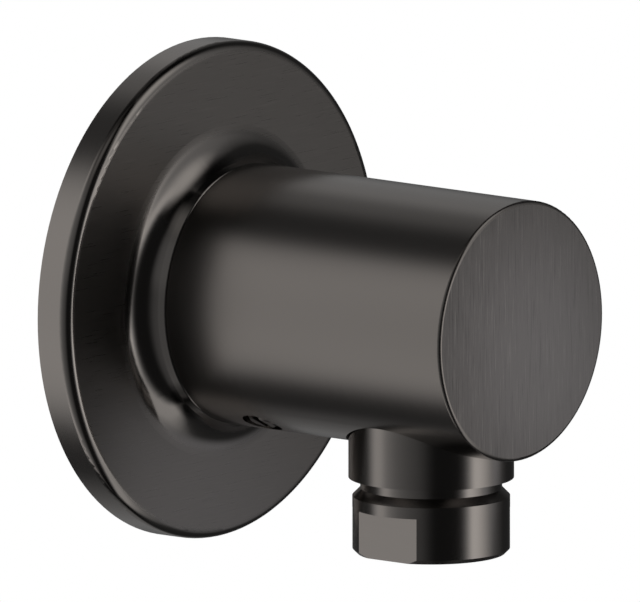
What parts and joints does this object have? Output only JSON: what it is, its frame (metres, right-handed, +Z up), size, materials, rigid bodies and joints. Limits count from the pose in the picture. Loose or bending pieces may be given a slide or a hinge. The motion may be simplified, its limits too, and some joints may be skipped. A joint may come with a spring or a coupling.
{
  "type": "wall outlet elbow",
  "caption": "Round wall elbow: a flange with a coved neck carries a turned body whose threaded outlet hangs down for a shower hose, with a sprung check valve inside the outlet.",
  "frame": {"origin": "where the inlet thread's axis crosses the finished wall, at the centre of the rosette's back", "axes": "+Y into the wall along the inlet thread, +Z up, the outlet points down along -Z"},
  "size_m": [0.0666, 0.0706, 0.0666],
  "materials": {
    "graphite_brass": "satin",
    "raw_brass": "satin",
    "epdm_rubber": "matte",
    "foam_rubber": "matte",
    "white_acetal": "satin",
    "grey_acetal": "satin",
    "stainless_steel": "satin",
    "graphite_steel": "satin"
  },
  "bodies": {
    "fitting": {"rosette": "graphite_brass", "rosette_gasket": "foam_rubber", "rosette_o_ring": "epdm_rubber", "elbow_body": "graphite_brass", "wall_nipple": "raw_brass", "spigot_o_ring_rear": "epdm_rubber", "spigot_o_ring_front": "epdm_rubber", "set_screw": "graphite_steel", "outlet_nipple": "graphite_brass", "outlet_o_ring": "epdm_rubber", "valve_cage": "white_acetal", "valve_o_ring": "epdm_rubber", "valve_guide": "white_acetal", "valve_spring": "stainless_steel"},
    "poppet": {"valve_poppet": "grey_acetal", "valve_seal": "epdm_rubber"}
  },
  "joints": [
    {"name": "valve_opening", "type": "slide", "parent": "fitting", "child": "poppet", "axis": [0, 0, -1], "range_m": [0, 0.0025], "stiffness_N_per_m": 300, "springref_m": -0.004, "deforming": ["valve_spring"]}
  ]
}
